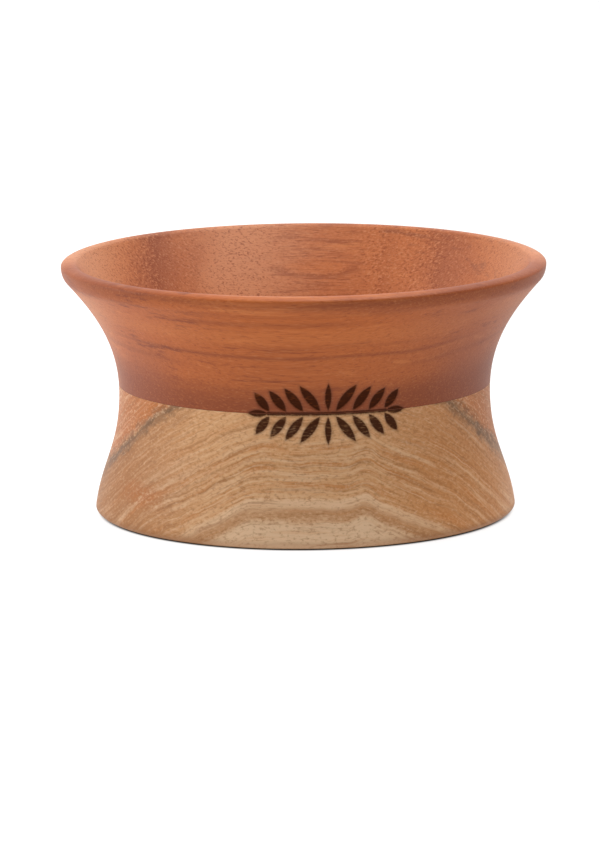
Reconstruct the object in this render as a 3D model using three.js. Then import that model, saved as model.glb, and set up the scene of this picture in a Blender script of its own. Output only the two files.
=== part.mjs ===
// A hand-turned lather bowl for shaving, without a handle. A red timber ring is glued
// face to face on a pale timber base, and the two are turned as one blank to a
// double-flared shape: wide at the rolled lip, drawn in at the waist, wide at the foot.
// Millimetres, +Z up, origin at the bottom centre of the foot.

import * as THREE from "three";

// The blank: two boards and the glue between them.
const bowlHeight = 63;
const jointHeight = 32.4; // top face of the pale base board
const glueThickness = 0.1;

// The outside, from the lip down.
const rimRadius = 60;
const lipReach = 2.4; // from the lip's crest out to its widest ring
const lipCrown = 1.2; // from the lip's crest down to its widest ring
const lipRoll = 3.8; // how far the roll under the widest ring would drop, if it were a full quarter
const lipFlare = 42; // degrees from upright, just under the lip
const waistRadius = 46;
const waistHeight = 30.2;
const footRadius = 52.1;
const footEdgeReach = 3.2; // how far the foot's edge is eased in
const footEdgeRise = 1.7; // and how high
const footFlare = 7.5; // degrees from upright, just over the foot's edge

// The basin.
const waistWall = 7.2;
const basinWaistLift = 3.5; // the basin's narrowest ring stands this much over the waist
const basinLipReach = 1.8; // from the lip's crest in to the end of its crown
const basinLipFlare = 39; // degrees from upright, just inside the lip
const floorRadius = 15; // the flat in the middle of the basin
const floorThickness = 11.5; // timber between the basin and the chuck recess

// The underside: a shallow dovetailed recess that the lathe's chuck expanded into.
const recessRadius = 27.5;
const recessDepth = 3.5;
const recessUndercut = 0.7;
const restRingWidth = 7.3; // the flat ring that the bowl stands on
const undersideHollow = 0.5;

// How far each curve keeps to its two end tangents, as a share of the way to where they meet.
const fullness = {
  flare: [0.9, 0.51],
  basinSide: [0.62, 0.5],
  basinFlare: [0.9, 0.5],
};
// The foot's curve bends both ways, so its two shares are of the height that it spans.
const footFullness = [0.38, 0.47];

const turnSegments = 72;
const curveSteps = { footEdge: 4, foot: 11, flare: 14, lip: 4, basin: 12 };

const redTimber = new THREE.MeshStandardMaterial({
  color: 0xb5653f,
  roughness: 0.45,
  metalness: 0,
});
const paleTimber = new THREE.MeshStandardMaterial({
  color: 0xd2ac84,
  roughness: 0.48,
  metalness: 0,
});
const glue = new THREE.MeshStandardMaterial({
  color: 0x5a3626,
  roughness: 0.6,
  metalness: 0,
});

const point = (radius, height) => new THREE.Vector2(radius, height);

// A unit step in a direction given in degrees from upright, leaning outwards.
function lean(degrees) {
  const angle = THREE.MathUtils.degToRad(degrees);
  return point(Math.sin(angle), Math.cos(angle));
}

// A curve that leaves one point and reaches the next along set tangents, and bends one way.
function bend(from, leaving, to, arriving, [startShare, endShare]) {
  const span = to.clone().sub(from);
  const cross = leaving.cross(arriving);
  const reach = span.cross(arriving) / cross;
  const reachBack = leaving.cross(span) / cross;
  const startHandle = from.clone().addScaledVector(leaving, startShare * reach);
  const endHandle = to.clone().addScaledVector(arriving, -endShare * reachBack);
  return new THREE.CubicBezierCurve(from, startHandle, endHandle, to);
}

// The points of several curves that follow each other, without the doubled ends.
function trace(...pieces) {
  return pieces.flatMap(([curve, steps], index) => curve.getPoints(steps).slice(index ? 1 : 0));
}

// The part of a rising profile between two heights, with an exact point on each.
function between(profile, low, high) {
  const clearance = 0.3; // points nearer than this to a cut would leave slivers
  const inside = profile.filter((p) => p.y > low + clearance && p.y < high - clearance);
  return [point(radiusAt(profile, low), low), ...inside, point(radiusAt(profile, high), high)];
}

// The radius of a rising profile at a height.
function radiusAt(profile, height) {
  const after = profile.findIndex((p) => p.y >= height);
  if (after <= 0) return profile.at(after).x;
  const [a, b] = [profile[after - 1], profile[after]];
  return a.x + ((b.x - a.x) * (height - a.y)) / (b.y - a.y);
}

// An arc of an ellipse, between two angles in degrees from the horizontal.
function arc(centre, reach, rise, from, to) {
  const [start, end] = [from, to].map(THREE.MathUtils.degToRad);
  return new THREE.EllipseCurve(centre.x, centre.y, reach, rise, start, end, end < start);
}

// The angle round an ellipse at which its side leans by so many degrees from upright.
function angleAtLean(reach, rise, degrees) {
  const slope = Math.tan(THREE.MathUtils.degToRad(degrees));
  return THREE.MathUtils.radToDeg(Math.atan((rise / reach) * slope));
}

const lipCentre = point(rimRadius - lipReach, bowlHeight - lipCrown);

const upright = lean(0);
const outwards = lean(90);

// From the standing face, round the foot's edge, in to the waist and out to the lip's crest.
function outsideProfile() {
  const edgeCentre = point(footRadius - footEdgeReach, footEdgeRise);
  const footEdge = arc(edgeCentre, footEdgeReach, footEdgeRise, -90, 0);
  const foot = point(footRadius, footEdgeRise);
  const waist = point(waistRadius, waistHeight);
  const rise = waistHeight - footEdgeRise;
  const footCurve = new THREE.CubicBezierCurve(
    foot,
    foot.clone().addScaledVector(lean(-footFlare), footFullness[0] * rise),
    waist.clone().addScaledVector(upright, -footFullness[1] * rise),
    waist,
  );
  const roll = arc(lipCentre, lipReach, lipRoll, -angleAtLean(lipReach, lipRoll, lipFlare), 0);
  const crown = arc(lipCentre, lipReach, lipCrown, 0, 90);
  const lip = roll.getPoint(0);
  return trace(
    [footEdge, curveSteps.footEdge],
    [footCurve, curveSteps.foot],
    [bend(waist, upright, lip, lean(lipFlare), fullness.flare), curveSteps.flare],
    [roll, curveSteps.lip],
    [crown, curveSteps.lip],
  );
}

// From the edge of the basin's flat floor, up its side and out to the lip's crest.
function insideProfile() {
  const floorEdge = point(floorRadius, recessDepth + floorThickness);
  const waist = point(waistRadius - waistWall, waistHeight + basinWaistLift);
  const crownStart = 180 - angleAtLean(basinLipReach, lipCrown, basinLipFlare);
  const crown = arc(lipCentre, basinLipReach, lipCrown, crownStart, 90);
  const lip = crown.getPoint(0);
  return trace(
    [bend(floorEdge, outwards, waist, upright, fullness.basinSide), curveSteps.basin],
    [bend(waist, upright, lip, lean(basinLipFlare), fullness.basinFlare), curveSteps.flare],
    [crown, curveSteps.lip],
  );
}

// The underside, from the axis out to the inner edge of the standing ring.
function undersideProfile() {
  const standingEdge = footRadius - footEdgeReach - restRingWidth;
  return [
    point(0, recessDepth),
    point(recessRadius + recessUndercut, recessDepth),
    point(recessRadius, undersideHollow),
    point(standingEdge, 0),
  ];
}

// A solid turned about the Z axis from its half section.
function turned(name, profile, material) {
  const geometry = new THREE.LatheGeometry(profile, turnSegments);
  geometry.rotateX(Math.PI / 2);
  const mesh = new THREE.Mesh(geometry, material);
  mesh.name = name;
  return mesh;
}

// The closed half section of a ring between two heights.
function ringProfile(outside, inside, low, high) {
  const up = between(outside, low, high);
  const down = between(inside, low, high).reverse();
  const meetAtTop = up.at(-1).distanceTo(down[0]) < 1e-6;
  return [...up, ...down.slice(meetAtTop ? 1 : 0), up[0].clone()];
}

const outside = outsideProfile();
const inside = insideProfile();

function paleBase() {
  const profile = [
    ...undersideProfile(),
    ...between(outside, 0, jointHeight),
    ...between(inside, inside[0].y, jointHeight).reverse(),
    point(0, inside[0].y),
  ];
  return turned("pale_base", profile, paleTimber);
}

function glueLine() {
  const profile = ringProfile(outside, inside, jointHeight, jointHeight + glueThickness);
  return turned("glue_line", profile, glue);
}

function redBowl() {
  const profile = ringProfile(outside, inside, jointHeight + glueThickness, bowlHeight);
  return turned("red_bowl", profile, redTimber);
}

const latherBowl = new THREE.Group();
latherBowl.add(paleBase(), glueLine(), redBowl());

export default latherBowl;
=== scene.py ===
"""A turned lather bowl for shaving: a red timber bowl glued on a pale timber base.

The CAD frame gives the sizes. This add-on turns the smooth timbers, presses the burnt sprig into
them, gives them their grain, and sets the bowl in a small white studio.
"""

import math

import bpy
import numpy as np
from bpy.props import FloatProperty, FloatVectorProperty, IntProperty, PointerProperty
from mathutils import Matrix, Vector
from mathutils.geometry import interpolate_bezier


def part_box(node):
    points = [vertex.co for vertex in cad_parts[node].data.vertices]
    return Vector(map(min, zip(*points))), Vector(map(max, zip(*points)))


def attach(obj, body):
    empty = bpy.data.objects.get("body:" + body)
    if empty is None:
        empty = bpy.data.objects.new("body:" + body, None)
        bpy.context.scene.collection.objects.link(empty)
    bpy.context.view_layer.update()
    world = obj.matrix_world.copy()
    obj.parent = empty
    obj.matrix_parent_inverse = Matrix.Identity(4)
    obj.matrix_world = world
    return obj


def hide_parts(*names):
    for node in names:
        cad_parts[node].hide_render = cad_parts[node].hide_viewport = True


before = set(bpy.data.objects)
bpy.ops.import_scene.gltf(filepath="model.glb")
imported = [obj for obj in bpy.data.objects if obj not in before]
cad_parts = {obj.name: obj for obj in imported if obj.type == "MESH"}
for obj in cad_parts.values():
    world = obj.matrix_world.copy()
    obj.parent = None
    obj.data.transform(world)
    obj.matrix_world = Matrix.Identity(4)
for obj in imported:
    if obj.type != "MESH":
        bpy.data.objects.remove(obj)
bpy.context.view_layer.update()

bl_info = {
    "name": "Turned lather bowl",
    "version": (1, 0, 0),
    "blender": (4, 5, 0),
    "location": "View3D > Sidebar > Bowl",
    "description": "Turns a two-timber lather bowl with a burnt sprig, and lights it",
    "category": "Add Mesh",
}

RED_LOW, RED_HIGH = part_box("red_bowl")
BASE_LOW, BASE_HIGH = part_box("pale_base")
MM = 0.001


# Settings


def length(name, description, default):
    """A size in metres."""
    return FloatProperty(
        name=name, description=description, default=default, unit="LENGTH", precision=5
    )


def angle(name, description, degrees):
    """An angle, given in degrees."""
    return FloatProperty(
        name=name, description=description, default=math.radians(degrees), subtype="ANGLE"
    )


def colour(name, description, default):
    """A colour as a screen shows it."""
    return FloatVectorProperty(
        name=name, description=description, default=default, size=3, min=0, max=1,
        subtype="COLOR_GAMMA",
    )


class BowlSizes(bpy.types.PropertyGroup):
    """The bowl's half section."""

    rim_radius: length("Rim radius", "Radius over the rolled lip", RED_HIGH.x)
    height: length("Height", "From the standing face to the lip's crest", RED_HIGH.z)
    base_top: length("Base top", "Height of the pale board's glued face", BASE_HIGH.z)
    bowl_bottom: length("Bowl bottom", "Height of the red board's glued face", RED_LOW.z)
    lip_reach: length("Lip reach", "From the lip's crest out to its widest ring", 2.4 * MM)
    lip_crown: length("Lip crown", "From the lip's crest down to its widest ring", 1.2 * MM)
    lip_roll: length("Lip roll", "Height of the roll under the widest ring", 3.8 * MM)
    lip_flare: angle("Lip flare", "Lean of the outside just under the lip", 42)
    waist_radius: length("Waist radius", "Radius at the narrowest ring", 46 * MM)
    waist_height: length("Waist height", "Height of the narrowest ring", 30.2 * MM)
    foot_radius: length("Foot radius", "Radius over the foot's edge", BASE_HIGH.x)
    foot_reach: length("Foot edge reach", "How far the foot's edge is eased in", 3.2 * MM)
    foot_rise: length("Foot edge rise", "How high the foot's edge is eased", 1.7 * MM)
    foot_flare: angle("Foot flare", "Lean of the outside over the foot's edge", 7.5)
    waist_wall: length("Wall", "Thickness of the wall at the waist", 7.2 * MM)
    basin_lift: length("Basin lift", "Basin's narrowest ring over the waist", 3.5 * MM)
    basin_flare: angle("Basin flare", "Lean of the inside just under the lip", 39)
    basin_reach: length("Basin lip reach", "From the lip's crest in to its inner edge", 1.8 * MM)
    floor_radius: length("Floor radius", "Radius of the basin's flat floor", 15 * MM)
    floor_height: length("Floor height", "Height of the basin's floor", 15 * MM)
    recess_radius: length("Recess radius", "Radius of the chuck recess's mouth", 27.5 * MM)
    recess_depth: length("Recess depth", "Depth of the chuck recess", 3.5 * MM)
    recess_undercut: length("Undercut", "How far the recess widens inwards", 0.7 * MM)
    ring_width: length("Standing ring", "Width of the flat ring it stands on", 7.3 * MM)
    hollow: length("Hollow", "Rise of the underside inside the ring", 0.5 * MM)


class BurntSprig(bpy.types.PropertyGroup):
    """The sprig burnt across the joint at the front."""

    width: length("Width", "From end leaf to end leaf", 39 * MM)
    leaf_length: length("Leaf length", "Length of the leaves in the middle", 8.0 * MM)
    leaf_width: length("Leaf width", "Width of a leaf", 2.15 * MM)
    stem_width: length("Stem width", "Width of the stem", 0.8 * MM)
    leaf_pairs: IntProperty(name="Leaf pairs", description="Pairs on each half", default=4)
    leaf_lean: angle("Leaf lean", "Angle between a leaf and the stem", 53)
    height: length("Height", "Height of the stem", 32.45 * MM)
    turn: angle("Turn", "How far round from the front it sits", 7)
    depth: length("Depth", "How deep the iron bit", 0.22 * MM)


class TimberColours(bpy.types.PropertyGroup):
    """The timbers' colours under their oil."""

    red: colour("Red timber", "The red timber's main colour", (0.675, 0.35, 0.145))
    red_dark: colour("Red timber, dark", "Its late wood", (0.50, 0.225, 0.085))
    red_light: colour("Red timber, light", "Its early wood", (0.735, 0.415, 0.20))
    red_rose: colour("Red timber, rose", "Its palest, pinkish part", (0.775, 0.51, 0.345))
    red_end: colour("Red end grain", "Where the fibres end on the surface", (0.57, 0.30, 0.18))
    pale: colour("Pale timber", "The pale timber's main colour", (0.81, 0.61, 0.42))
    pale_light: colour("Pale timber, light", "Its creamiest rings", (0.865, 0.715, 0.565))
    pale_cream: colour("Pale timber, cream", "The cream under the arch", (0.845, 0.71, 0.57))
    pale_brown: colour("Pale timber, brown", "The brown ring under the arch", (0.735, 0.55, 0.385))
    pale_dark: colour("Pale timber, dark", "Its fine dark rings", (0.57, 0.37, 0.20))
    pale_orange: colour("Orange streaks", "Resin-rich rings", (0.73, 0.455, 0.225))
    tan: colour("Tan", "The browner timber to the sides", (0.63, 0.405, 0.20))
    heart: colour("Heartwood", "The reddish heart in the pale board", (0.69, 0.395, 0.16))
    mineral: colour("Mineral streak", "The grey line round the heart", (0.38, 0.255, 0.15))
    burnt: colour("Burnt", "The bottom of the mark", (0.225, 0.095, 0.035))
    glue: colour("Glue", "The glue line", (0.36, 0.20, 0.14))


class Studio(bpy.types.PropertyGroup):
    """The camera and its light."""

    distance: length("Camera distance", "From the bowl's middle", 1.4708)
    elevation: angle("Elevation", "How far the camera looks down on the bowl", 10.265)
    roll: angle("Roll", "How far the camera leans over to its right", 0.483)
    target_height: length("Target height", "Height of the bowl's middle", 31 * MM)
    below: length("Aim below", "How far under the middle the camera aims", 9.07 * MM)
    beside: length("Aim beside", "How far left of the middle the camera aims", 1.13 * MM)
    lens: FloatProperty(name="Lens", description="Focal length in mm", default=252.5)


class BowlSettings(bpy.types.PropertyGroup):
    """All that a user can change."""

    sizes: PointerProperty(type=BowlSizes)
    sprig: PointerProperty(type=BurntSprig)
    colours: PointerProperty(type=TimberColours)
    studio: PointerProperty(type=Studio)


# Half section


# How far each curve keeps to its two end tangents, as in the CAD.
FOOT_SHARES = (0.38, 0.47)
FLARE_SHARES = (0.9, 0.51)
BASIN_SIDE_SHARES = (0.62, 0.5)
BASIN_FLARE_SHARES = (0.9, 0.5)
CURVE_STEPS = 60
ARC_STEPS = 24


def lean(turn):
    """A unit step up and out, at an angle from upright."""
    return Vector((math.sin(turn), 0, math.cos(turn)))


def corner(radius, height):
    """A point of the half section."""
    return Vector((radius, 0, height))


def bend(start, leaving, end, arriving, shares):
    """Points on a curve that leaves and arrives along set directions, and bends one way."""
    span = end - start
    across = leaving.cross(arriving).y
    reach = span.cross(arriving).y / across
    reach_back = leaving.cross(span).y / across
    first = start + leaving * (shares[0] * reach)
    second = end - arriving * (shares[1] * reach_back)
    return interpolate_bezier(start, first, second, end, CURVE_STEPS)


def arc(centre, reach, rise, start, end):
    """Points on an arc of an ellipse, between two angles in degrees from the horizontal."""
    turns = [math.radians(start + (end - start) * i / ARC_STEPS) for i in range(ARC_STEPS + 1)]
    return [centre + corner(reach * math.cos(t), rise * math.sin(t)) for t in turns]


def angle_at_lean(reach, rise, flare):
    """The angle in degrees round an ellipse at which its side leans so far from upright."""
    return math.degrees(math.atan(rise / reach * math.tan(flare)))


def lip_centre(sizes):
    """The middle of the three arcs that make the lip."""
    return corner(sizes.rim_radius - sizes.lip_reach, sizes.height - sizes.lip_crown)


def outside_profile(sizes):
    """From the standing face, round the foot's edge, in to the waist and out to the crest."""
    edge_centre = corner(sizes.foot_radius - sizes.foot_reach, sizes.foot_rise)
    foot = corner(sizes.foot_radius, sizes.foot_rise)
    waist = corner(sizes.waist_radius, sizes.waist_height)
    rise = waist.z - foot.z
    above_foot = foot + lean(-sizes.foot_flare) * (FOOT_SHARES[0] * rise)
    below_waist = waist - lean(0) * (FOOT_SHARES[1] * rise)
    start = -angle_at_lean(sizes.lip_reach, sizes.lip_roll, sizes.lip_flare)
    roll = arc(lip_centre(sizes), sizes.lip_reach, sizes.lip_roll, start, 0)
    return joined(
        arc(edge_centre, sizes.foot_reach, sizes.foot_rise, -90, 0),
        interpolate_bezier(foot, above_foot, below_waist, waist, CURVE_STEPS),
        bend(waist, lean(0), roll[0], lean(sizes.lip_flare), FLARE_SHARES),
        roll,
        arc(lip_centre(sizes), sizes.lip_reach, sizes.lip_crown, 0, 90),
    )


def inside_profile(sizes):
    """From the edge of the basin's floor, up its side and out to the lip's crest."""
    floor_edge = corner(sizes.floor_radius, sizes.floor_height)
    waist = corner(sizes.waist_radius - sizes.waist_wall, sizes.waist_height + sizes.basin_lift)
    start = 180 - angle_at_lean(sizes.basin_reach, sizes.lip_crown, sizes.basin_flare)
    crown = arc(lip_centre(sizes), sizes.basin_reach, sizes.lip_crown, start, 90)
    return joined(
        bend(floor_edge, lean(math.pi / 2), waist, lean(0), BASIN_SIDE_SHARES),
        bend(waist, lean(0), crown[0], lean(sizes.basin_flare), BASIN_FLARE_SHARES),
        crown,
    )


def joined(*curves):
    """Curves that follow each other, without the doubled ends."""
    return [p for i, curve in enumerate(curves) for p in curve[1 if i else 0:]]


def between(profile, low, high, spacing):
    """The part of a rising profile between two heights, with points evenly spaced along it."""
    inside = [p for p in profile if low < p.z < high]
    return even([point_at(profile, low), *inside, point_at(profile, high)], spacing)


def point_at(profile, height):
    """A rising profile's point at a height."""
    return corner(np.interp(height, [p.z for p in profile], [p.x for p in profile]), height)


def even(points, spacing):
    """The same line, with points evenly spaced along it."""
    run = np.cumsum([0] + [(b - a).length for a, b in zip(points, points[1:])])
    count = max(2, round(run[-1] / spacing) + 1)
    along = np.linspace(0, run[-1], count)
    radii = np.interp(along, run, [p.x for p in points])
    heights = np.interp(along, run, [p.z for p in points])
    return [corner(radius, height) for radius, height in zip(radii, heights)]


# Turning


FINE_SECTOR = math.radians(54)  # the part of the turn with the fine mesh, under the sprig
FINE_STEPS = 172
COARSE_STEPS = 250
FINE_BAND = 9 * MM  # from the sprig's stem, up and down
FINE_SPACING = 0.26 * MM
COARSE_SPACING = 0.9 * MM
FLAT_SPACING = 3 * COARSE_SPACING
FOOT_SPACING = 0.3 * COARSE_SPACING
LIP_SPACING = 0.18 * MM
WELD = 0.01 * MM
SMOOTH_UNDER = math.radians(35)


def turn_solid(name, outline, sprig):
    """Draws a half section corner by corner and spins it clockwise, finely under the sprig."""
    start = sprig.turn + FINE_SECTOR / 2 - math.pi / 2
    radial = Vector((math.cos(start), math.sin(start), 0))
    points = [radial * p.x + Vector((0, 0, p.z)) for p in outline]
    bpy.ops.object.select_all(action="DESELECT")
    bpy.ops.mesh.primitive_plane_add(size=MM, location=(0, 0, 0))
    piece = bpy.context.object
    piece.name = name
    piece.data.name = name
    bpy.ops.object.mode_set(mode="EDIT")
    bpy.ops.mesh.select_all(action="SELECT")
    bpy.ops.mesh.merge(type="CENTER")
    bpy.ops.transform.translate(value=points[0])
    for here, there in zip(points, points[1:]):
        bpy.ops.mesh.extrude_region_move(TRANSFORM_OT_translate={"value": there - here})
    bpy.ops.mesh.select_all(action="SELECT")
    for steps, turn in ((FINE_STEPS, FINE_SECTOR), (COARSE_STEPS, math.tau - FINE_SECTOR)):
        bpy.ops.mesh.spin(steps=steps, angle=turn, center=(0, 0, 0), axis=(0, 0, 1))
    bpy.ops.mesh.select_all(action="SELECT")
    bpy.ops.mesh.remove_doubles(threshold=WELD)
    bpy.ops.mesh.normals_make_consistent(inside=False)
    bpy.ops.object.mode_set(mode="OBJECT")
    return piece


# The sprig's proportions: lengths as shares of a middle leaf's length, widths of its width.
END_LEAF = (0.62, 0.42)
BUD = (0.84, 0.36)
FIRST_PAIR = 0.28
SHRINK = 0.1  # how much shorter each pair is than the one before it

MARK_EDGE = 0.5 * MM  # from the untouched timber to the bottom of the mark
MARK_REACH = 20  # distances to the mark stop here, in millimetres


def lens_distance(along, across, half_length, half_width):
    """Distance to the outline of a pointed leaf, less than nothing inside it."""
    radius = (half_length**2 + half_width**2) / (2 * half_width)
    offset = radius - half_width
    return np.maximum(np.hypot(along, across - offset), np.hypot(along, across + offset)) - radius


def sprig_distance(along, up, sprig):
    """Distance in metres to the outline of a sprig of leaves, less than nothing inside it."""
    along, up = np.abs(along), np.abs(up)
    end_leaf = sprig.leaf_length * END_LEAF[0]
    reach = sprig.width / 2 - end_leaf
    nearest = np.hypot(along - np.clip(along, 0, reach), up) - sprig.stem_width / 2
    first = FIRST_PAIR * sprig.leaf_length
    gap = (reach - first) / (sprig.leaf_pairs - 1)
    cos, sin = math.cos(sprig.leaf_lean), math.sin(sprig.leaf_lean)
    for i in range(sprig.leaf_pairs):
        size = sprig.leaf_length * (1 - SHRINK * i)
        middle = size / 2 + sprig.stem_width
        far = along - first - gap * i + sprig.stem_width
        run = far * cos + up * sin - middle
        off = -far * sin + up * cos
        nearest = np.minimum(nearest, lens_distance(run, off, size / 2, sprig.leaf_width / 2))
    bud_length = sprig.leaf_length * BUD[0]
    bud = lens_distance(
        up - bud_length / 2 - sprig.stem_width, along, bud_length / 2, sprig.leaf_width * BUD[1]
    )
    tip = lens_distance(
        along - reach - end_leaf / 2, up, end_leaf / 2, sprig.leaf_width * END_LEAF[1]
    )
    return np.minimum(nearest, np.minimum(bud, tip))


def burn_sprig(piece, sizes, sprig):
    """Notes each point's distance to the sprig, and presses the mark into the outside."""
    mesh = piece.data
    co = np.zeros(len(mesh.vertices) * 3)
    mesh.vertices.foreach_get("co", co)
    x, y, z = co.reshape(-1, 3).T
    radius = np.hypot(x, y)
    turn = np.arctan2(x, -y) - sprig.turn
    distance = sprig_distance(turn * sizes.waist_radius, z - sprig.height, sprig)
    on_outside = radius > sizes.waist_radius - sizes.waist_wall / 2
    facing = on_outside & (np.abs(turn) < FINE_SECTOR / 2)
    distance = np.where(facing, distance, MARK_REACH * MM)
    attribute = mesh.attributes.new("mark_distance", "FLOAT", "POINT")
    attribute.data.foreach_set("value", np.minimum(distance / MM, MARK_REACH).astype(np.float32))
    sunk = np.clip(0.5 - distance / MARK_EDGE, 0, 1)
    group = piece.vertex_groups.new(name="mark")
    for index in np.flatnonzero(sunk > 0):
        group.add([int(index)], float(sunk[index]), "REPLACE")
    iron = piece.modifiers.new("iron", "DISPLACE")
    iron.vertex_group = group.name
    iron.direction = "Y"
    iron.mid_level = 0
    iron.strength = sprig.depth
    bpy.ops.object.modifier_apply(modifier=iron.name)


def finish_piece(piece, node, material):
    """Smooths a piece, gives it its material and puts it in its node's place."""
    bpy.ops.object.shade_smooth_by_angle(angle=SMOOTH_UNDER)
    piece.data.materials.clear()
    piece.data.materials.append(material)
    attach(piece, "root")
    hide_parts(node)


# Shading


OIL_IOR = 1.36


class Field:
    """A value that varies over a surface: the output of a node, with arithmetic on it."""

    def __init__(self, socket):
        self.socket = socket
        self.tree = socket.id_data

    def math(self, operation, *others):
        node = self.tree.nodes.new("ShaderNodeMath")
        node.operation = operation
        for slot, value in zip(node.inputs, (self, *others)):
            feed(slot, value)
        return Field(node.outputs[0])

    def __add__(self, other):
        return self.math("ADD", other)

    def __sub__(self, other):
        return self.math("SUBTRACT", other)

    def __rsub__(self, other):
        return self * -1 + other

    def __mul__(self, other):
        return self.math("MULTIPLY", other)

    def __truediv__(self, other):
        return self.math("DIVIDE", other)

    def __abs__(self):
        return self.math("ABSOLUTE")

    def step(self, low, high):
        """Rises smoothly from 0 at low to 1 at high. It falls if low is above high."""
        node = self.tree.nodes.new("ShaderNodeMapRange")
        node.interpolation_type = "SMOOTHSTEP"
        for slot, value in zip(node.inputs, (self, low, high, 0, 1)):
            feed(slot, value)
        return Field(node.outputs[0])

    def band(self, centre, half_width):
        """1 at the centre, falling smoothly to 0 at half_width from it."""
        return abs(self - centre).step(half_width, 0)

    def above(self, level, softness):
        """How far the value stands over a level, with a soft start."""
        return (self - level).math("SMOOTH_MAX", 0, softness)


def feed(slot, value):
    """Joins a field to a socket, or sets the socket's own value."""
    if isinstance(value, Field):
        value.tree.links.new(value.socket, slot)
    elif slot.type == "RGBA":
        slot.default_value = (*value, 1)
    else:
        slot.default_value = value


def linear(shown):
    """A colour as light, from a colour as a screen shows it."""
    return tuple(c / 12.92 if c <= 0.04045 else ((c + 0.055) / 1.055) ** 2.4 for c in shown)


def noise(x, y, z, detail=2.0, roughness=0.5):
    """Even noise from 0 to 1, one blob for each unit of x, y and z."""
    tree = x.tree
    together = tree.nodes.new("ShaderNodeCombineXYZ")
    for slot, value in zip(together.inputs, (x, y, z)):
        feed(slot, value)
    node = tree.nodes.new("ShaderNodeTexNoise")
    tree.links.new(together.outputs[0], node.inputs["Vector"])
    node.inputs["Scale"].default_value = 1
    node.inputs["Detail"].default_value = detail
    node.inputs["Roughness"].default_value = roughness
    return Field(node.outputs[0])


def ramp(value, stops):
    """Colours set out along a value, each at its own level."""
    low, high = stops[0][0], stops[-1][0]
    node = value.tree.nodes.new("ShaderNodeValToRGB")
    node.color_ramp.interpolation = "EASE"
    feed(node.inputs[0], (value - low) / (high - low))
    elements = node.color_ramp.elements
    while len(elements) < len(stops):
        elements.new(0.5)
    for element, (level, shown) in zip(elements, stops):
        element.position = (level - low) / (high - low)
        element.color = (*linear(shown), 1)
    return Field(node.outputs[0])


def mix(base, top, share, blend="MIX"):
    """One colour laid over another by a share."""
    tree = next(v.tree for v in (share, base, top) if isinstance(v, Field))
    node = tree.nodes.new("ShaderNodeMix")
    node.data_type = "RGBA"
    node.blend_type = blend
    feed(node.inputs[0], share)
    feed(node.inputs[6], base)
    feed(node.inputs[7], top)
    return Field(node.outputs[2])


def new_material(name):
    """A material, and the position on the piece in millimetres as three fields."""
    material = bpy.data.materials.new(name)
    material.use_nodes = True
    tree = material.node_tree
    place = tree.nodes.new("ShaderNodeTexCoord")
    scale = tree.nodes.new("ShaderNodeVectorMath")
    scale.operation = "SCALE"
    scale.inputs["Scale"].default_value = 1 / MM
    split = tree.nodes.new("ShaderNodeSeparateXYZ")
    tree.links.new(place.outputs["Object"], scale.inputs[0])
    tree.links.new(scale.outputs[0], split.inputs[0])
    return material, [Field(s) for s in split.outputs]


def oiled(material, shown, roughness, relief, shine=0.5):
    """Gives a surface its colour, roughness, fine relief in millimetres, and shine."""
    tree = material.node_tree
    shader = tree.nodes["Principled BSDF"]
    bump = tree.nodes.new("ShaderNodeBump")
    bump.inputs["Strength"].default_value = 1
    bump.inputs["Distance"].default_value = MM
    feed(bump.inputs["Height"], relief)
    feed(shader.inputs["Base Color"], shown)
    feed(shader.inputs["Roughness"], roughness)
    feed(shader.inputs["Specular IOR Level"], shine)
    tree.links.new(bump.outputs[0], shader.inputs["Normal"])
    shader.inputs["IOR"].default_value = OIL_IOR


def scorched(shown, colours, distance, x, y, z):
    """Lays the burnt mark and its faint halo over a timber."""
    ragged = distance + (noise(x * 3, y * 3, z * 3, 2) - 0.5) * 0.3
    halo = ragged.step(0.8, 0) * 0.25
    streaky = noise(x * 0.5, y * 0.5, z * 2.6, 3, 0.6).step(0.50, 0.72) * 0.35
    burn = ragged.step(0.22, -0.2) * (streaky * -1 + 0.96)
    toasted = mix(shown, linear(colours.burnt), halo, "MULTIPLY")
    return mix(toasted, linear(colours.burnt), burn)


def charred(distance):
    """The shine of the timber, which the burning takes away."""
    return distance.step(-0.2, 0.2) * 0.45 + 0.05


def mark_distance(tree):
    """The distance to the burnt sprig, in millimetres."""
    node = tree.nodes.new("ShaderNodeAttribute")
    node.attribute_name = "mark_distance"
    return Field(node.outputs["Fac"])


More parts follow.
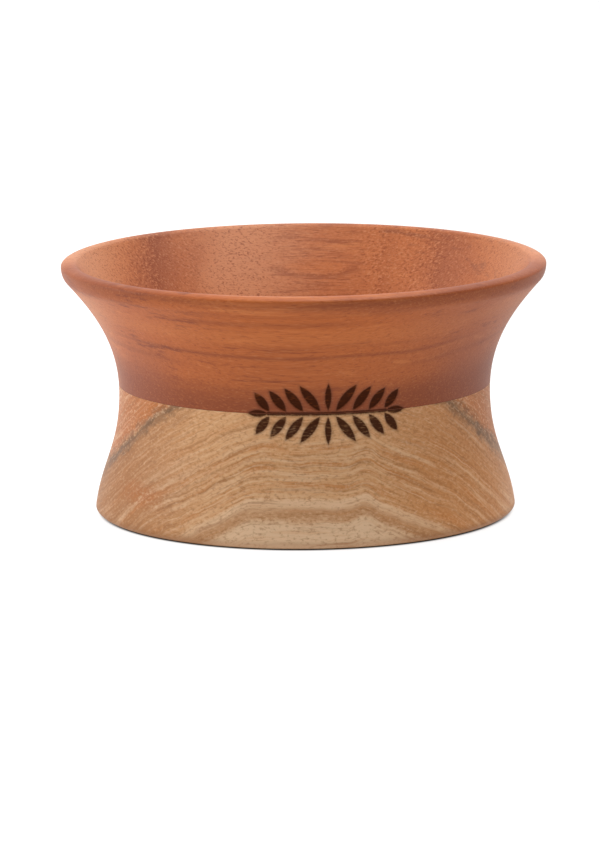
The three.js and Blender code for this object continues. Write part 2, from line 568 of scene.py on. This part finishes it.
def red_timber(colours):
    """Straight-grained red timber, its fibres across the front of the bowl, with painted sheen and
    painted shade laid into its colour.
    """
    material, (x, y, z) = new_material("red_timber")
    light, dark, end, rose = (
        linear(c) for c in (colours.red_light, colours.red_dark, colours.red_end, colours.red_rose)
    )
    turn = math.radians(5)  # how far the fibres lie from the bowl's left and right
    u = x * math.cos(turn) - y * math.sin(turn)
    v = x * math.sin(turn) + y * math.cos(turn)
    sway = (noise(u * 0.03, v * 0.03, z * 0.05, 1) - 0.5) * 3
    layer = z - v * 0.1 - 4.6 + sway
    broad = noise(u * 0.012, v * 0.06, layer * 0.22, 2)
    streaks = noise(u * 0.03, v * 0.3, layer * 1.1, 4, 0.6)
    fibres = noise(u * 0.16, v * 2.0, z * 2.4, 3, 0.65)
    pores = noise(u * 0.35, v * 2.8, z * 2.8, 1)
    front, far = y.step(5, -15), y.step(-12, 12)
    shown = ramp(broad * 0.45 + streaks * 0.55, [
        (0.34, colours.red_dark),
        (0.46, colours.red),
        (0.54, colours.red),
        (0.67, colours.red_light),
    ])
    shown = mix(shown, light, layer.band(52.5, 4) * front * 0.45)
    shown = mix(shown, dark, layer.step(42, 34) * front * 0.8)
    # Painted shade: the right of the front darkened, away from the light on the left.
    shown = mix(shown, dark, x.step(14, 44) * front * 0.35)
    # Dark lines: a height in the timber, half a width, a share, and where they run from and to.
    for level, width, share, left, right in (
        (47.0, 0.9, 0.60, -45, 40),
        (56.4, 1.3, 0.45, -32, 12),
        (59.0, 1.2, 0.25, -30, 30),
        # The line at 62.3 is painted shade: the dark band under the lip's crest.
        (62.3, 1.8, 0.30, -60, 60),
        (61.6, 2.2, 0.60, 0, 44),
        (61.8, 1.8, 0.35, -70, -25),
        (59.8, 1.3, 0.40, 12, 44),
        (43.5, 1.2, 0.40, -60, -30),
        (43.5, 1.4, 0.45, 28, 60),
        (49.8, 0.7, 0.22, -20, 30),
        (38.6, 0.9, 0.25, -45, 10),
    ):
        reach = x.step(left - 8, left + 8) * x.step(right + 8, right - 8)
        shown = mix(shown, dark, layer.band(level, width) * reach * front * share)
    shown = mix(shown, end, abs(x).band(38, 10) * layer.step(52, 34) * front * 0.7)
    shown = mix(shown, dark, abs(x).step(20, 38) * layer.step(39, 33) * front * 0.5)
    # Painted sheen: the front's far left and right made rose-pale below the lip, stronger on the
    # left.
    painted_sheen_at_ends = abs(x).step(42, 54) * (x.step(0, -1) * 0.3 + 0.3)
    shown = mix(shown, rose, painted_sheen_at_ends * z.step(60, 57) * front)
    # Painted shade: the lip's sides darkened, where the crest's highlight falls off.
    shown = mix(shown, dark, abs(x).step(30, 50) * z.step(57, 60.5) * front * 0.5)
    shown = far_wall(shown, light, dark, end, rose, far, x, y, z)
    calm = far * -0.4 + 1
    shown = mix(shown, dark, fibres.step(0.50, 0.72) * calm * 0.34)
    shown = mix(shown, light, fibres.step(0.48, 0.28) * calm * 0.34)
    pits = pores.step(0.58, 0.74)
    shown = mix(shown, dark, pits * 0.5)
    shown = mix(shown, rose, pores.step(0.42, 0.24) * (far * 0.15 + 0.2))
    distance = mark_distance(material.node_tree)
    shown = scorched(shown, colours, distance, x, y, z)
    oiled(material, shown, fibres * 0.12 + 0.44, fibres * 0.012 - pits * 0.02, charred(distance))
    return material


def far_wall(shown, light, dark, end, rose, far, x, y, z):
    """The far side of the bowl: a pale field that is partly figure and partly painted sheen, two
    darker fields, an eye, and painted sheen towards its ends.
    """
    dots = noise(x * 1.3, y * 1.9, z * 1.9, 2, 0.6)
    drift = x + (noise(x * 0.06, y * 0.06, z * 0.12, 2) - 0.5) * 9 + (dots - 0.5) * 14
    # A pale pinkish field in the far wall: partly the timber's figure, partly painted sheen.
    shown = mix(shown, rose, drift.step(-32, -20) * drift.step(10, -16) * far * 0.75)
    # Painted sheen: the far wall made paler and pinker, most at its ends and more on the left.
    shown = mix(shown, rose, (abs(x).step(40, 56) * (x.step(0, -1) * 0.4 + 0.5) + 0.25) * far)
    shown = mix(shown, end, drift.band(-37, 10) * far * 0.85)
    shown = mix(shown, end, drift.band(37, 10) * far * 0.6)
    for place, width, share in ((-37, 2.5, 0.35), (-28, 2, 0.25), (21, 2, 0.25), (34, 2.5, 0.3)):
        shown = mix(shown, dark, drift.band(place, width) * far * share)
    across, up = (x - 3) / 9.5, (z - 53.2) / 2.3
    eye = (across * across + up * up).math("SQRT") + (dots - 0.5) * 0.6
    streaks = noise(x * 0.09, y * 0.2, z * 1.5, 2).step(0.46, 0.66)
    middle = x.step(-12, -2) * x.step(19, 10) * far
    shown = mix(shown, dark, streaks * middle * 0.5)
    shown = mix(shown, light, eye.step(1.1, 0.4) * far * 0.5)
    shown = mix(shown, dark, eye.band(1.0, 0.35) * z.step(54.5, 52) * far * 0.45)
    shown = mix(shown, dark, dots.step(0.54, 0.70) * far * (middle * -0.5 + 0.75))
    return mix(shown, rose, dots.step(0.47, 0.30) * far * (middle * -0.4 + 0.65))


def pale_timber(colours):
    """Pale timber with strong rings that fall away to both sides of the front, and painted shade
    along the foot's bottom edge.
    """
    material, (x, y, z) = new_material("pale_timber")
    light, dark = linear(colours.pale_light), linear(colours.pale_dark)
    orange, tan = linear(colours.pale_orange), linear(colours.tan)
    mineral = linear(colours.mineral)
    sway = (noise(x * 0.04, y * 0.04, z * 0.05, 1) - 0.5) * 1.6
    wander = (noise(x * 0.16, y * 0.16, z * 0.12, 2) - 0.5) * 1.8
    right = x.above(16, 1.5) * 0.5 + x.above(37, 4) * 0.45
    left = (x * -1).above(13, 7) * 0.55 + (x * -1).above(38, 4) * 0.35
    hump = x.band(14.5, 4.5) * 0.9
    back = y.above(-36, 3) * 0.2
    layer = z + right + left + back - hump + sway + wander
    grain = noise(x * 1.0, y * 1.0, z * 1.6, 2, 0.6)
    rings = noise(x * 0.03, y * 0.03, layer * 0.9, 3, 0.6)
    lines = noise(x * 0.07, y * 0.07, layer * 1.9, 2)
    flecks = noise(x * 0.32, y * 0.32, layer * 2.3, 2, 0.6)
    shown = ramp(layer + (grain - 0.5) * 1.6, [
        (0, colours.pale_cream),
        (6.2, colours.pale_cream),
        (8.2, colours.pale_brown),
        (9.2, colours.pale_brown),
        (10.8, colours.pale_light),
        (11.5, colours.pale_light),
        (13.2, colours.pale),
        (42.5, colours.pale),
        (44.5, colours.heart),
        (70, colours.heart),
    ])
    sapwood = layer.step(44, 42)
    sides = abs(x + 3).step(14, 44) * sapwood
    shown = mix(shown, tan, sides * (x.step(-16, -36) * 0.35 + 0.6))
    shown = mix(shown, orange, x.step(12, 34) * sapwood * layer.step(11, 14) * 0.4)
    patchy = noise(x * 0.09, y * 0.09, z * 0.12, 1).step(0.35, 0.6)
    broken = noise(x * 0.13, y * 0.13, layer * 0.6, 2).step(0.36, 0.6)
    # Rings: a height in the timber, half a width, a share and a colour.
    for level, width, share, tone in (
        (14.8, 1.4, 0.35, orange),
        (17.2, 0.8, 0.20, dark),
        (18.3, 0.8, 0.35, light),
        (19.6, 0.7, 0.55, dark),
        (21.2, 0.9, 0.40, light),
        (22.4, 0.8, 0.35, dark),
        (24.1, 1.3, 0.55, orange),
        (25.6, 1.0, 0.45, light),
        (28.8, 1.4, 0.30, light),
        (31.5, 1.0, 0.25, orange),
    ):
        shown = mix(shown, tone, layer.band(level, width) * broken * share)
    shown = mix(shown, dark, rings.step(0.51, 0.68) * (patchy * 0.4 + 0.1))
    shown = mix(shown, light, rings.step(0.48, 0.32) * (patchy * 0.25 + 0.12))
    strong = layer.band(18, 8) * abs(x).step(34, 18)
    shown = mix(shown, orange, lines.step(0.52, 0.66) * (strong * 0.5 + 0.2))
    shown = mix(shown, light, lines.step(0.47, 0.33) * (strong * 0.5 + 0.15))
    patch = x.band(-40, 8) * z.band(9.8, 4.2)
    shown = mix(shown, linear(colours.heart), patch * grain.step(0.3, 0.6) * 0.8)
    ragged = layer + (noise(x * 0.4, y * 0.4, z * 0.6, 3, 0.7) - 0.5) * 6
    shown = mix(shown, mineral, ragged.band(42.8, 3.2) * (broken * 0.3 + 0.55))
    shown = mix(shown, dark, ragged.band(39.2, 1.4) * broken * 0.35)
    shown = mix(shown, dark, flecks.step(0.55, 0.72) * 0.4)
    shown = mix(shown, light, flecks.step(0.44, 0.28) * (sides * -0.15 + 0.35))
    shown = mix(shown, dark, grain.step(0.52, 0.70) * 0.42)
    shown = mix(shown, light, grain.step(0.48, 0.30) * (sides * -0.15 + 0.36))
    # Painted shade: the lowest few millimetres of the foot darkened as a contact shadow, more so
    # to the sides.
    shown = mix(shown, dark, z.step(3.0, 0.6) * (abs(x).step(12, 34) * 0.35 + 0.5))
    distance = mark_distance(material.node_tree)
    shown = scorched(shown, colours, distance, x, y, z)
    oiled(material, shown, rings * 0.1 + 0.46, flecks * 0.012, charred(distance))
    return material


def glue_film(colours):
    """Dry glue, darker where more of it was squeezed out."""
    material, (x, y, z) = new_material("glue")
    blotches = noise(x * 0.4, y * 0.4, z * 0.4, 3)
    shown = mix(linear(colours.glue), linear(colours.red_dark), blotches)
    oiled(material, shown, blotches * 0.2 + 0.5, blotches * 0.01)
    return material


# Operators


class BOWL_OT_studio(bpy.types.Operator):
    """Sets the camera, a white floor and soft light"""

    bl_idname = "bowl.studio"
    bl_label = "Studio"

    def execute(self, context):
        studio = context.scene.bowl.studio
        place_camera(studio)
        lay_floor()
        light_room()
        context.scene.view_settings.view_transform = "Standard"
        return {"FINISHED"}


def place_camera(studio):
    """Looks down on the bowl from the front, a little below its middle."""
    away = Vector((0, -math.cos(studio.elevation), math.sin(studio.elevation)))
    middle = Vector((0, 0, studio.target_height))
    bpy.ops.object.camera_add(location=middle + away * studio.distance)
    camera = bpy.context.object
    camera.name = "camera"
    lean_over = Matrix.Rotation(studio.roll, 3, -away)
    right = lean_over @ Vector((1, 0, 0))
    up = right.cross(-away)
    aim = middle - right * studio.beside - up * studio.below
    look = (aim - camera.location).normalized()
    right = (right - look * right.dot(look)).normalized()
    up = right.cross(look)
    camera.matrix_world = Matrix.Translation(camera.location) @ Matrix(
        (right, up, -look)
    ).transposed().to_4x4()
    camera.data.lens = studio.lens
    camera.data.sensor_width = 36
    camera.data.clip_start = 0.01
    bpy.context.scene.camera = camera


def lay_floor():
    """A wide sheet of white acrylic, lit from beneath all round the bowl but not under it."""
    bpy.ops.mesh.primitive_plane_add(size=8, location=(0, 0, 0))
    floor = bpy.context.object
    floor.name = "floor"
    material, (x, y, _) = new_material("white_floor")
    shader = material.node_tree.nodes["Principled BSDF"]
    shader.inputs["Base Color"].default_value = (0.25, 0.25, 0.25, 1)
    shader.inputs["Roughness"].default_value = 0.9
    shader.inputs["Specular IOR Level"].default_value = 0.1
    shader.inputs["Emission Color"].default_value = (1, 1, 1, 1)
    clear_of_foot = (x * x + y * y).math("SQRT").step(50.2, 51.8)
    feed(shader.inputs["Emission Strength"], clear_of_foot * (x.step(150, -150) * 0.26 + 0.72))
    floor.data.materials.append(material)


def soft_box(name, place, size, power):
    """A square light that faces the bowl."""
    bpy.ops.object.light_add(type="AREA", location=place)
    lamp = bpy.context.object
    lamp.name = name
    lamp.data.size = size
    lamp.data.energy = power
    lamp.rotation_euler = (-Vector(place)).to_track_quat("-Z", "Y").to_euler()


def light_room():
    """A soft box high on the right, a lower one on the left, and a room dim in front."""
    soft_box("high_box", (0.3, 0.1, 1.4), 1.0, 17)
    soft_box("left_box", (-1.25, 0.05, 0.55), 0.9, 7)
    world = bpy.data.worlds.new("room")
    bpy.context.scene.world = world
    world.use_nodes = True
    tree = world.node_tree
    split = tree.nodes.new("ShaderNodeSeparateXYZ")
    tree.links.new(tree.nodes.new("ShaderNodeTexCoord").outputs["Generated"], split.inputs[0])
    x, y, z = (Field(s) for s in split.outputs)
    front = (y * -1).step(0, 0.7) * z.step(0.8, 0.3)
    right = x.step(0.1, 0.8) * z.step(0.7, 0.3)
    behind = y.step(0.45, 0.85)
    background = tree.nodes["Background"]
    background.inputs["Color"].default_value = (1, 1, 1, 1)
    feed(background.inputs["Strength"],
         0.75 - front * 0.62 - right * 0.4 * (1 - front) + behind * 0.5)


class BOWL_OT_pale_base(bpy.types.Operator):
    """Turns the pale timber: foot, lower basin and chuck recess"""

    bl_idname = "bowl.pale_base"
    bl_label = "Pale base"

    def execute(self, context):
        settings = context.scene.bowl
        sizes = settings.sizes
        outside, inside = outside_profile(sizes), inside_profile(sizes)
        fine_from = settings.sprig.height - FINE_BAND
        ring_edge = corner(sizes.foot_radius - sizes.foot_reach - sizes.ring_width, 0)
        recess_edge = corner(sizes.recess_radius, sizes.hollow)
        recess_corner = corner(sizes.recess_radius + sizes.recess_undercut, sizes.recess_depth)
        outline = joined(
            even([corner(0, sizes.recess_depth), recess_corner], FLAT_SPACING),
            even([recess_corner, recess_edge], COARSE_SPACING),
            even([recess_edge, ring_edge], FLAT_SPACING),
            even([ring_edge, outside[0]], FLAT_SPACING),
            between(outside, 0, 2 * sizes.foot_rise, FOOT_SPACING),
            between(outside, 2 * sizes.foot_rise, fine_from, COARSE_SPACING),
            between(outside, fine_from, sizes.base_top, FINE_SPACING),
            even([point_at(outside, sizes.base_top), point_at(inside, sizes.base_top)],
                 FLAT_SPACING),
            between(inside, sizes.floor_height, sizes.base_top, COARSE_SPACING)[::-1],
            even([corner(sizes.floor_radius, sizes.floor_height),
                  corner(0, sizes.floor_height)], FLAT_SPACING),
        )
        piece = turn_solid("pale_base_timber", outline, settings.sprig)
        burn_sprig(piece, sizes, settings.sprig)
        finish_piece(piece, "pale_base", pale_timber(settings.colours))
        return {"FINISHED"}


class BOWL_OT_glue_line(bpy.types.Operator):
    """Spreads the thin ring of glue between the timbers"""

    bl_idname = "bowl.glue_line"
    bl_label = "Glue line"

    def execute(self, context):
        settings = context.scene.bowl
        sizes = settings.sizes
        outside, inside = outside_profile(sizes), inside_profile(sizes)
        low, high = sizes.base_top, sizes.bowl_bottom
        outline = [
            point_at(outside, low),
            point_at(outside, high),
            point_at(inside, high),
            point_at(inside, low),
            point_at(outside, low),
        ]
        piece = turn_solid("glue_film", outline, settings.sprig)
        burn_sprig(piece, sizes, settings.sprig)
        finish_piece(piece, "glue_line", glue_film(settings.colours))
        return {"FINISHED"}


class BOWL_OT_red_bowl(bpy.types.Operator):
    """Turns the red timber: flared wall and rolled lip"""

    bl_idname = "bowl.red_bowl"
    bl_label = "Red bowl"

    def execute(self, context):
        settings = context.scene.bowl
        sizes = settings.sizes
        outside, inside = outside_profile(sizes), inside_profile(sizes)
        fine_to = settings.sprig.height + FINE_BAND
        lip = sizes.height - sizes.lip_crown - sizes.lip_roll
        outline = joined(
            between(outside, sizes.bowl_bottom, fine_to, FINE_SPACING),
            between(outside, fine_to, lip, COARSE_SPACING),
            between(outside, lip, sizes.height, LIP_SPACING),
            between(inside, lip, sizes.height, LIP_SPACING)[::-1],
            between(inside, sizes.bowl_bottom, lip, COARSE_SPACING)[::-1],
            even([point_at(inside, sizes.bowl_bottom), point_at(outside, sizes.bowl_bottom)],
                 FLAT_SPACING),
        )
        piece = turn_solid("red_bowl_timber", outline, settings.sprig)
        burn_sprig(piece, sizes, settings.sprig)
        finish_piece(piece, "red_bowl", red_timber(settings.colours))
        return {"FINISHED"}


class BOWL_PT_panel(bpy.types.Panel):
    """Lists the bowl's pieces and sizes in the sidebar"""

    bl_label = "Lather bowl"
    bl_idname = "BOWL_PT_panel"
    bl_space_type = "VIEW_3D"
    bl_region_type = "UI"
    bl_category = "Bowl"

    def draw(self, context):
        settings = context.scene.bowl
        for operator in OPERATORS:
            self.layout.operator(operator.bl_idname)
        for group in (settings.sizes, settings.sprig, settings.colours, settings.studio):
            box = self.layout.box()
            for name in group.__annotations__:
                box.prop(group, name)


GROUPS = (BowlSizes, BurntSprig, TimberColours, Studio, BowlSettings)
OPERATORS = (BOWL_OT_studio, BOWL_OT_pale_base, BOWL_OT_glue_line, BOWL_OT_red_bowl)


def register():
    for cls in (*GROUPS, *OPERATORS, BOWL_PT_panel):
        bpy.utils.register_class(cls)
    bpy.types.Scene.bowl = PointerProperty(type=BowlSettings)


def unregister():
    del bpy.types.Scene.bowl
    for cls in reversed((*GROUPS, *OPERATORS, BOWL_PT_panel)):
        bpy.utils.unregister_class(cls)


def main():
    """Builds the whole bowl."""
    register()
    bpy.ops.bowl.studio()
    bpy.ops.bowl.pale_base()
    bpy.ops.bowl.glue_line()
    bpy.ops.bowl.red_bowl()


if __name__ == "__main__":
    main()
